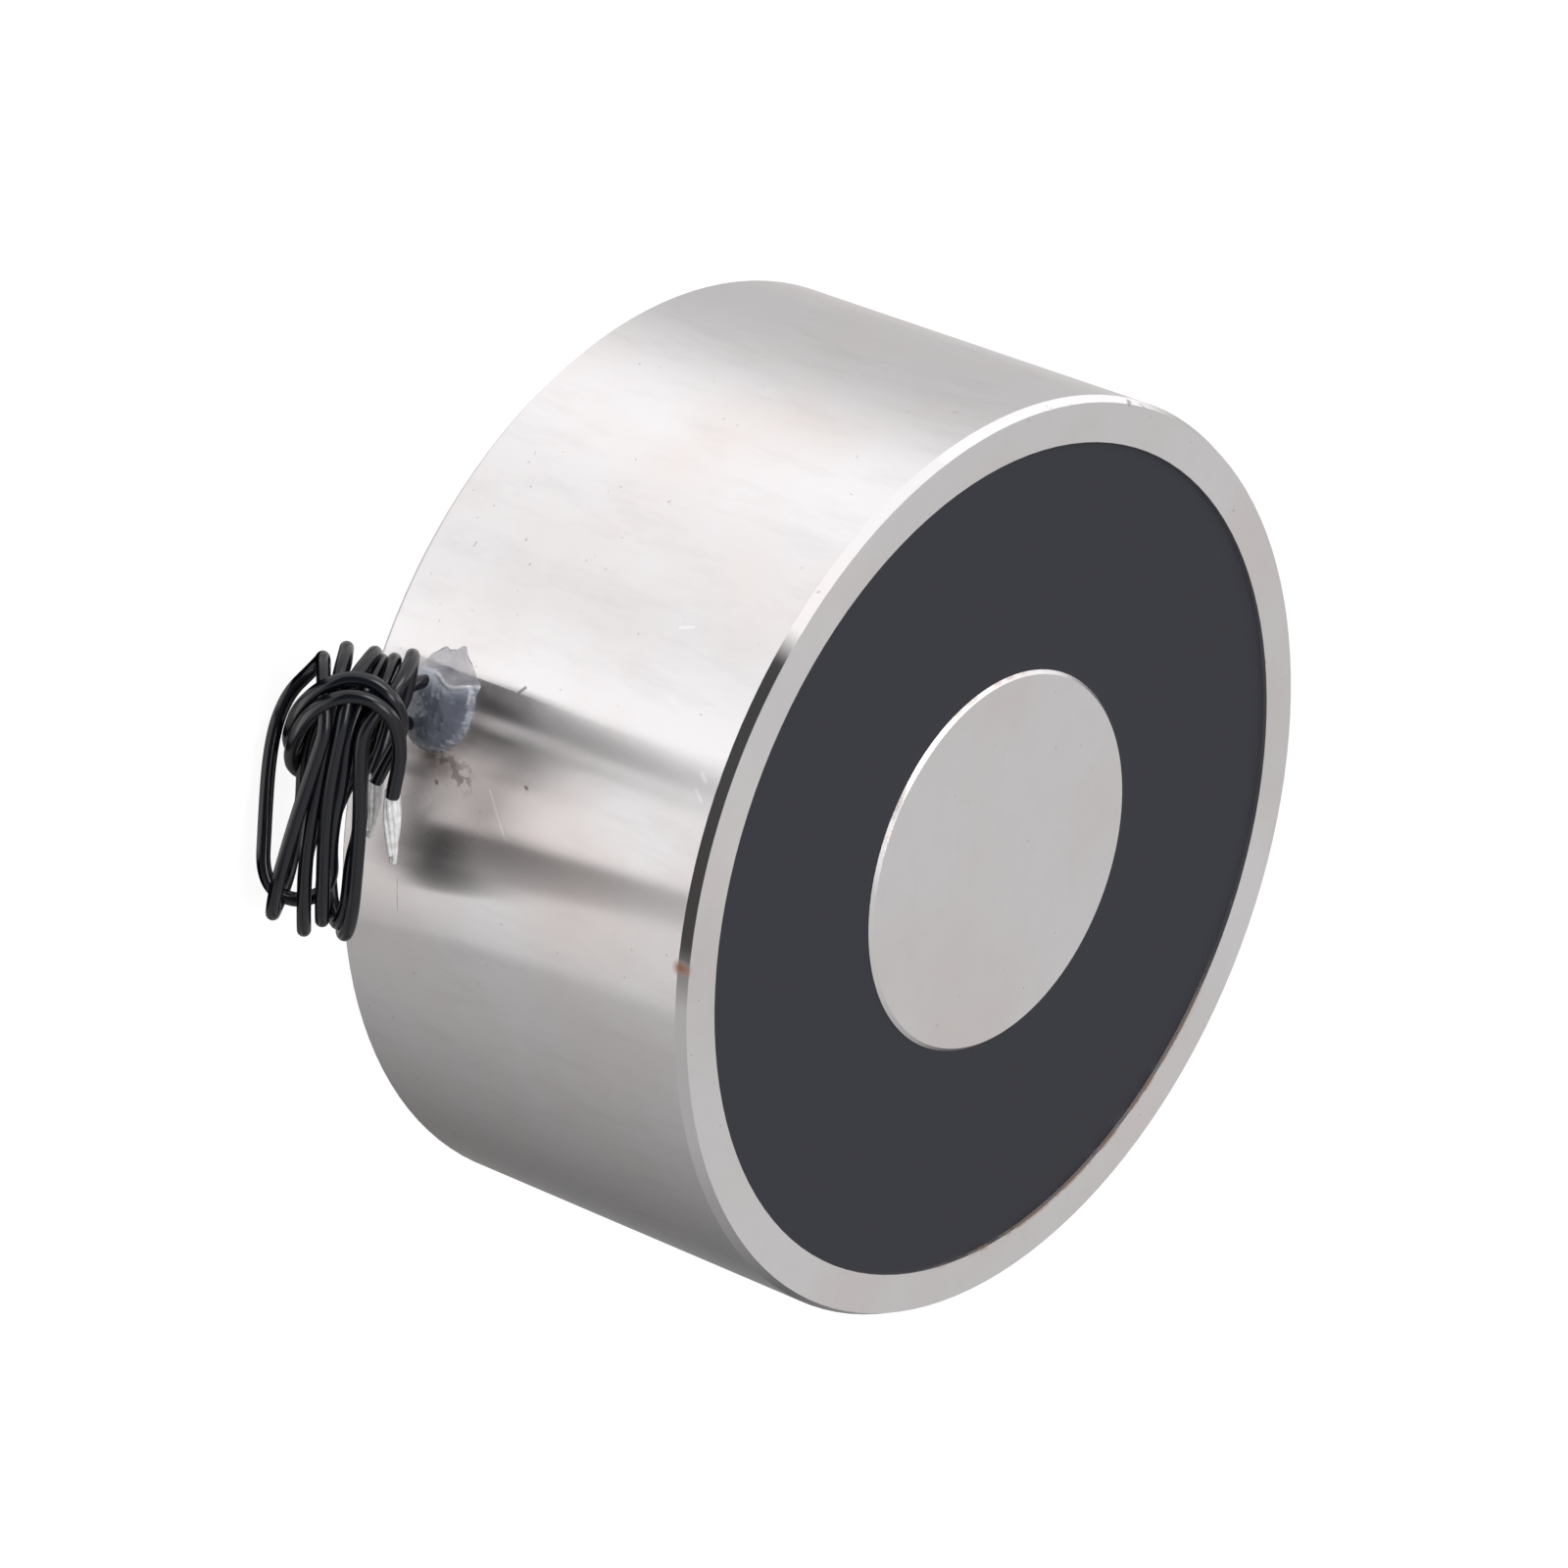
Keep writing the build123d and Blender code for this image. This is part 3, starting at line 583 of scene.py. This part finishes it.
def sealant_edge(angle):
    """How far from the middle of the hole the sealant reaches at an angle, film and all."""
    side = cos(angle)
    height = sin(angle)
    edge = dome_radius + 0.06 * noise.noise(Vector((side * 3.0, height * 3.0, 1.0)))
    for (bearing, reach), (next_bearing, next_reach) in zip(film_outline, film_outline[1:]):
        if bearing <= degrees(angle) < next_bearing:
            share = (degrees(angle) - bearing) / (next_bearing - bearing)
            edge += reach + (next_reach - reach) * share
            edge += 0.15 * min(reach, 1.0) * noise.noise(Vector((side * 9.0, height * 9.0, 3.0)))
    return edge


def sealant_rise(side, height):
    """How far the sealant stands out of the wall, in millimetres: the dome ends short at its lip."""
    distance = sqrt(side * side + height * height)
    dome = dome_rise * max(0.0, 1 - (distance / dome_radius) ** 2) ** 0.62
    dome *= ease(-3.1, -2.4, side)
    lip = lip_rise * exp(-((side - ridge_side(height)) / lip_width) ** 2)
    lip *= ease(-1.4, 0.2, height) * ease(4.0, 3.2, height)
    unevenness = noise.noise(Vector((side * 1.1, height * 1.1, 2.0)))
    smear = 0.07 + 0.10 * max(0.0, noise.noise(Vector((side * 2.3, height * 2.3, 7.0))))
    return dome * (1 + 0.06 * unevenness) + lip + smear


# Each point also holds how much of it is torn film, how much painted shade it takes, and how much painted
# highlight it takes along the lip, for the materials
sealant_mesh = bmesh.new()
film_layer = sealant_mesh.verts.layers.float.new("film")
painted_shade_layer = sealant_mesh.verts.layers.float.new("depth")
lip_highlight_layer = sealant_mesh.verts.layers.float.new("ridge")
film_vertices = set()
spokes = 240
rings = 34
angles = [tau * spoke / spokes for spoke in range(spokes)]
edges = [sealant_edge(angle) for angle in angles]
top_vertex = sealant_mesh.verts.new(wall_place(0, 0, sealant_rise(0, 0)))
chain = []
for ring in range(1, rings + 1):
    current = []
    for angle, edge in zip(angles, edges):
        distance = edge * (ring / rings)
        side = cos(angle) * distance
        height = sin(angle) * distance
        rise = sealant_rise(side, height) * ease(edge, edge - edge_fade, distance) - edge_sink
        vertex = sealant_mesh.verts.new(wall_place(side, height, rise))
        speckle = noise.noise(Vector((side * 3.2, height * 3.2, 5.0)))
        vertex[film_layer] = ease(3.0, 3.7, distance) * ease(0.05, 0.35, speckle) * 0.45
        # Painted shade: darker round towards +X and upwards, paler on the other side and low down
        vertex[painted_shade_layer] = ease(-2.6, -0.3, side + 0.2 * height) * ease(-4.6, -1.2, height)
        # Painted highlight: a white line along the lip
        vertex[lip_highlight_layer] = exp(-((side - ridge_side(height)) / 0.17) ** 2) * ease(-1.6, 0.2, height)
        if side < ridge_side(height):
            film_vertices.add(vertex)
        current.append(vertex)
    chain.append(current)
for distance, depth in (
        (hole_radius + 0.3, under_skin), (hole_radius, under_skin), (hole_radius, plug_depth)):
    chain.append([sealant_mesh.verts.new(wall_place(distance * cos(angle), distance * sin(angle), -depth))
                  for angle in angles])
bottom_vertex = sealant_mesh.verts.new(wall_place(0, 0, -plug_depth))
for spoke in range(spokes):
    after = (spoke + 1) % spokes
    sealant_mesh.faces.new((top_vertex, chain[0][spoke], chain[0][after]))
    for inner, outer in zip(chain, chain[1:]):
        sealant_mesh.faces.new((inner[spoke], outer[spoke], outer[after], inner[after]))
    sealant_mesh.faces.new((chain[-1][spoke], bottom_vertex, chain[-1][after]))
bmesh.ops.recalc_face_normals(sealant_mesh, faces=sealant_mesh.faces)
for face in sealant_mesh.faces:
    face.smooth = True
    face.material_index = 1 if all(vertex in film_vertices for vertex in face.verts) else 0
sealant_dome = add_mesh_piece("sealant_dome", sealant_mesh)

silicone_cloud = 2.38 * mm
# Colour and strength of the painted highlight along the lip
lip_highlight_colour = "#fbfcff"
lip_highlight_strength = 0.85

# Thick silicone is milky and lets some light in, with a wet gloss, and its torn film is paler. Its colour
# carries painted shade, grey round towards +X and upwards and pale on its other side and low down, and a
# painted highlight, a white line along the lip
silicone, tree = new_material("grey translucent silicone sealant")
place = add_node(tree, "ShaderNodeTexCoord").outputs["Object"]
clouding = add_node(tree, "ShaderNodeTexNoise", {"Vector": place, "Scale": 1 / silicone_cloud, "Detail": 6.0})
patches = add_node(tree, "ShaderNodeMapRange", {"Value": clouding, "From Min": 0.35, "From Max": 0.65})
pale_body = add_node(tree, "ShaderNodeMix", {
    0: patches, "A": linear_colour("#c2c8d8"), "B": linear_colour("#dbe0ee")}, data_type="RGBA")
painted_shade_body = add_node(tree, "ShaderNodeMix", {
    0: patches, "A": linear_colour("#6f7482"), "B": linear_colour("#8c919f")}, data_type="RGBA")
# Painted shade: the grey body colour where the point's shade share is high
painted_shade = add_node(tree, "ShaderNodeAttribute", attribute_name="depth").outputs["Fac"]
body_colour = add_node(tree, "ShaderNodeMix", {
    0: painted_shade, "A": pale_body, "B": painted_shade_body}, data_type="RGBA")
film_patches = add_node(tree, "ShaderNodeMapRange", {"Value": clouding, "From Min": 0.4, "From Max": 0.6})
film_colour = add_node(tree, "ShaderNodeMix", {
    0: film_patches, "A": linear_colour("#c3c2ce"), "B": linear_colour("#f6f4fa")}, data_type="RGBA")
on_film = add_node(tree, "ShaderNodeAttribute", attribute_name="film").outputs["Fac"]
skin_colour = add_node(tree, "ShaderNodeMix", {
    0: on_film, "A": body_colour, "B": film_colour}, data_type="RGBA")
# Painted highlight: a white line along the lip
lip_highlight = add_node(tree, "ShaderNodeAttribute", attribute_name="ridge").outputs["Fac"]
lip_highlight = add_node(tree, "ShaderNodeMath", {0: lip_highlight, 1: lip_highlight_strength}, operation="MULTIPLY")
skin_colour = add_node(tree, "ShaderNodeMix", {
    0: lip_highlight, "A": skin_colour, "B": linear_colour(lip_highlight_colour)}, data_type="RGBA")
bump = add_node(tree, "ShaderNodeBump", {"Height": clouding, "Strength": 0.3, "Distance": 0.1 * mm})
surface = add_node(tree, "ShaderNodeBsdfPrincipled", {
    "Base Color": skin_colour, "Roughness": 0.22, "Transmission Weight": 0.25, "Coat Weight": 0.4,
    "Coat Roughness": 0.15, "Normal": bump})
add_node(tree, "ShaderNodeOutputMaterial", {"Surface": surface})
sealant_dome.data.materials.append(silicone)

# Smeared thin, the same silicone is a whitish veil through which the plate shows, with the same painted
# highlight along the lip
thin_film, tree = new_material("silicone film smeared thin on the wall")
place = add_node(tree, "ShaderNodeTexCoord").outputs["Object"]
clouding = add_node(tree, "ShaderNodeTexNoise", {"Vector": place, "Scale": 1 / silicone_cloud, "Detail": 6.0})
patches = add_node(tree, "ShaderNodeMapRange", {"Value": clouding, "From Min": 0.35, "From Max": 0.65})
film_colour = add_node(tree, "ShaderNodeMix", {
    0: patches, "A": linear_colour("#c0c0cc"), "B": linear_colour("#f6f4fa")}, data_type="RGBA")
# Painted highlight: the same white line along the lip
lip_highlight = add_node(tree, "ShaderNodeAttribute", attribute_name="ridge").outputs["Fac"]
lip_highlight = add_node(tree, "ShaderNodeMath", {0: lip_highlight, 1: lip_highlight_strength}, operation="MULTIPLY")
film_colour = add_node(tree, "ShaderNodeMix", {
    0: lip_highlight, "A": film_colour, "B": linear_colour(lip_highlight_colour)}, data_type="RGBA")
surface = add_node(tree, "ShaderNodeBsdfPrincipled", {
    "Base Color": film_colour, "Roughness": 0.3, "Alpha": 0.45})
add_node(tree, "ShaderNodeOutputMaterial", {"Surface": surface})
sealant_dome.data.materials.append(thin_film)
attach(sealant_dome, "root")
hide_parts("cable_seal")


# Floor for the photograph: plain white paper that keeps a soft shadow. It looks white from above, is
# clear from below, and isn't mirrored in the plate, whose reflections come from the room.
floor_size = 3.0
floor_white_share = 0.75
floor_glow = 1.22
bpy.ops.mesh.primitive_plane_add(size=floor_size, location=(0, 0, -0.02 * mm))
floor = bpy.context.object
floor.name = "floor"
floor_paint, tree = new_material("white paper floor")
light_path = add_node(tree, "ShaderNodeLightPath")
seen = add_node(tree, "ShaderNodeMath", {
    0: light_path.outputs["Is Camera Ray"], 1: light_path.outputs["Is Glossy Ray"]},
    operation="ADD", use_clamp=True)
seen = add_node(tree, "ShaderNodeMath", {
    0: seen, 1: light_path.outputs["Is Transmission Ray"]}, operation="ADD", use_clamp=True)
whitened = add_node(tree, "ShaderNodeMath", {0: seen, 1: floor_white_share}, operation="MULTIPLY")
sheet = add_node(tree, "ShaderNodeBsdfDiffuse", {"Color": linear_colour("#e8e8e8")})
glow = add_node(tree, "ShaderNodeEmission", {"Color": (1, 1, 1, 1), "Strength": floor_glow})
upper_side = add_node(tree, "ShaderNodeMixShader", {0: whitened, 1: sheet, 2: glow})
from_below = add_node(tree, "ShaderNodeNewGeometry").outputs["Backfacing"]
clear = add_node(tree, "ShaderNodeBsdfTransparent")
both_sides = add_node(tree, "ShaderNodeMixShader", {0: from_below, 1: upper_side, 2: clear})
add_node(tree, "ShaderNodeOutputMaterial", {"Surface": both_sides})
floor.data.materials.append(floor_paint)
floor.visible_glossy = False


# Room for the photograph: a bright studio with darker sides, which only shiny surfaces see, by compass
# direction and height. Everything else gets an even dim light, and the camera sees plain white.
scene = bpy.context.scene
world = bpy.data.worlds.new("studio")
scene.world = world
world.use_nodes = True
tree = world.node_tree
tree.nodes.clear()
toward = add_node(tree, "ShaderNodeTexCoord").outputs["Generated"]
axes = add_node(tree, "ShaderNodeSeparateXYZ", {"Vector": toward})
azimuth = add_node(tree, "ShaderNodeMath", {0: axes.outputs["Y"], 1: axes.outputs["X"]}, operation="ARCTAN2")
turn_share = add_node(tree, "ShaderNodeMapRange", {"Value": azimuth, "From Min": -pi, "From Max": pi})
brightest = 1.35
overhead_grey = 0.62
sky_light = 0.35
# Brightness by direction in degrees from the X axis: near the floor, at eye level and overhead, and how
# far the eye level is lowered
room_light = {
    "low": ((-180, 1.24), (-163, 1.21), (-148, 0.98), (-134, 0.97), (-120, 1.10), (-106, 1.22), (-93, 1.30),
            (-80, 0.99), (-66, 0.91), (-52, 0.90), (-34, 0.82), (-27, 0.50), (-20, 0.47), (-8, 0.44),
            (5, 0.355), (19, 0.285), (33, 0.21), (46, 0.135), (70, 0.3), (95, 0.50), (126, 0.50), (141, 0.50),
            (154, 0.56), (166, 0.88), (178, 1.22)),
    "eye": ((-180, 1.15), (-128, 1.15), (-120, 0.04), (-54, 0.04), (-40, 0.45), (60, 0.45), (90, 0.62),
            (104, 1.2), (175, 1.25)),
    "high": ((-180, 1.35), (-140, 1.35), (-122, 0.12), (-60, 0.12), (-35, overhead_grey),
             (125, overhead_grey), (150, 1.35)),
    "lowered": ((-180, 0.3), (-172, 0.0), (96, 0.0), (106, 0.38)),
}
room = {}
for level, stops in room_light.items():
    room[level] = add_node(tree, "ShaderNodeValToRGB", {"Fac": turn_share})
    elements = room[level].color_ramp.elements
    while len(elements) < len(stops):
        elements.new(0.5)
    for element, (bearing, light) in zip(elements, stops):
        element.position = (bearing + 180) / 360
        element.color = (light / brightest, light / brightest, light / brightest, 1.0)
raised_height = add_node(tree, "ShaderNodeMath", {
    0: room["lowered"], 1: brightest, 2: axes.outputs["Z"]}, operation="MULTIPLY_ADD")
at_eye = add_node(tree, "ShaderNodeMapRange", {
    "Value": raised_height, "From Min": -0.06, "From Max": 0.06}, interpolation_type="SMOOTHSTEP")
overhead = add_node(tree, "ShaderNodeMapRange", {
    "Value": axes.outputs["Z"], "From Min": 0.3, "From Max": 0.45}, interpolation_type="SMOOTHSTEP")
sides = add_node(tree, "ShaderNodeMix", {0: at_eye, "A": room["low"], "B": room["eye"]}, data_type="RGBA")
whole_room = add_node(tree, "ShaderNodeMix", {0: overhead, "A": sides, "B": room["high"]}, data_type="RGBA")
light_path = add_node(tree, "ShaderNodeLightPath")
mirrored = add_node(tree, "ShaderNodeMath", {
    0: light_path.outputs["Is Glossy Ray"], 1: light_path.outputs["Is Transmission Ray"]},
    operation="ADD", use_clamp=True)
plain_sky = add_node(tree, "ShaderNodeBackground", {"Color": (1, 1, 1, 1), "Strength": sky_light})
room_sky = add_node(tree, "ShaderNodeBackground", {"Color": whole_room, "Strength": brightest})
white_sky = add_node(tree, "ShaderNodeBackground", {"Color": (1, 1, 1, 1), "Strength": 1.0})
lit_sky = add_node(tree, "ShaderNodeMixShader", {0: mirrored, 1: plain_sky, 2: room_sky})
whole_sky = add_node(tree, "ShaderNodeMixShader", {
    0: light_path.outputs["Is Camera Ray"], 1: lit_sky, 2: white_sky})
add_node(tree, "ShaderNodeOutputWorld", {"Surface": whole_sky})


# Flat strips just above the floor before the magnet, which only shiny surfaces see: painted reflections. The
# pale ones glow to brighten the wall between the leads' reflections, and the dark ones carry those
# reflections on along it as painted dark streaks.
def floor_strip(name, lift, brightness, *corners):
    """A flat strip at a small lift above the floor, with its corners as x and y, all in millimetres."""
    data = bpy.data.meshes.new(name)
    data.from_pydata([Vector((x, y, lift)) * mm for x, y in corners], [], [list(range(len(corners)))])
    strip = add_object(name, data)
    sheet, tree = new_material(name)
    # Painted reflection: a plain glow, bright, grey or black
    light = add_node(tree, "ShaderNodeEmission", {"Color": (1, 1, 1, 1), "Strength": brightness})
    add_node(tree, "ShaderNodeOutputMaterial", {"Surface": light})
    data.materials.append(sheet)
    strip.visible_camera = False
    strip.visible_diffuse = False
    strip.visible_shadow = False
    strip.visible_transmission = False


floor_strip("grey_card", 0.02, 0.47, (20.6, -34.3), (61.3, -65.8), (90.0, -88.0), (105.0, -66.5),
            (68.0, -52.0))
floor_strip("pale_strip", 0.03, 1.3, (5.0, -57.0), (16.0, -50.0), (19.5, -56.0), (23.5, -69.0), (26.0, -77.0),
            (30.0, -86.0), (12.0, -90.0), (6.8, -77.0), (5.2, -68.0))
floor_strip("dark_strip_high", 0.05, 0.0, (-3.6, -46.0), (-4.5, -53.9), (-5.3, -58.9), (-4.7, -65.2),
            (-4.5, -72.0), (-3.1, -79.0), (2.8, -79.0), (1.6, -72.0), (1.2, -66.8), (0.8, -60.8),
            (0.7, -55.7), (0.4, -46.0))
floor_strip("fading_strip_high", 0.05, 0.3, (-3.1, -79.0), (-1.6, -88.0), (4.4, -88.0), (2.8, -79.0))
floor_strip("dark_line_high", 0.05, 0.0, (2.9, -54.0), (2.9, -61.3), (3.2, -67.2), (3.4, -71.3), (6.4, -79.5),
            (7.8, -79.5), (4.8, -71.3), (4.3, -67.2), (4.1, -61.3), (4.1, -54.0))
floor_strip("dark_strip_low", 0.05, 0.0, (13.5, -46.0), (16.6, -49.3), (19.2, -54.4), (21.8, -60.2),
            (24.3, -68.5), (27.8, -75.5), (32.5, -74.0), (32.2, -67.0), (29.9, -58.6), (26.6, -52.3),
            (22.9, -48.4), (19.1, -45.4))
floor_strip("fading_strip_low", 0.05, 0.3, (27.8, -75.5), (29.5, -80.0), (31.0, -83.0), (33.2, -79.0),
            (32.5, -74.0))


# Lamps and camera: two soft lamps, above the magnet and to its left, and a camera at the photograph's
# viewing angle. Its place, axes and lens fit the outlines of rim, potting, pole and back edge.
for name, place, size, power in (
        ("lamp_left", (-0.6, -0.5, 0.7), 0.5, 3.0),
        ("lamp_top", (0.1, -0.3, 1.0), 0.5, 3.0)):
    lamp_data = bpy.data.lights.new(name, "AREA")
    lamp_data.size = size
    lamp_data.energy = power
    lamp = add_object(name, lamp_data)
    lamp.location = place
    lamp.rotation_euler = (-Vector(place)).to_track_quat("-Z", "Y").to_euler()

view_right = Vector((-0.29488918, 0.57875261, 0.76031953))
view_down = Vector((0.95116691, 0.10182901, 0.29139726))
view_ahead = Vector((0.09122434, 0.80912068, -0.5805186))
camera_place = Vector((-0.06781016, -0.60463649, 0.44837525))
camera_data = bpy.data.cameras.new("camera")
camera_data.sensor_width = 36.0
camera_data.lens = 202.75
camera = add_object("camera", camera_data)
camera_turn = Matrix((view_right, -view_down, -view_ahead)).transposed()
camera.matrix_world = Matrix.Translation(camera_place) @ camera_turn.to_4x4()
scene.camera = camera
scene.view_settings.view_transform = "Standard"
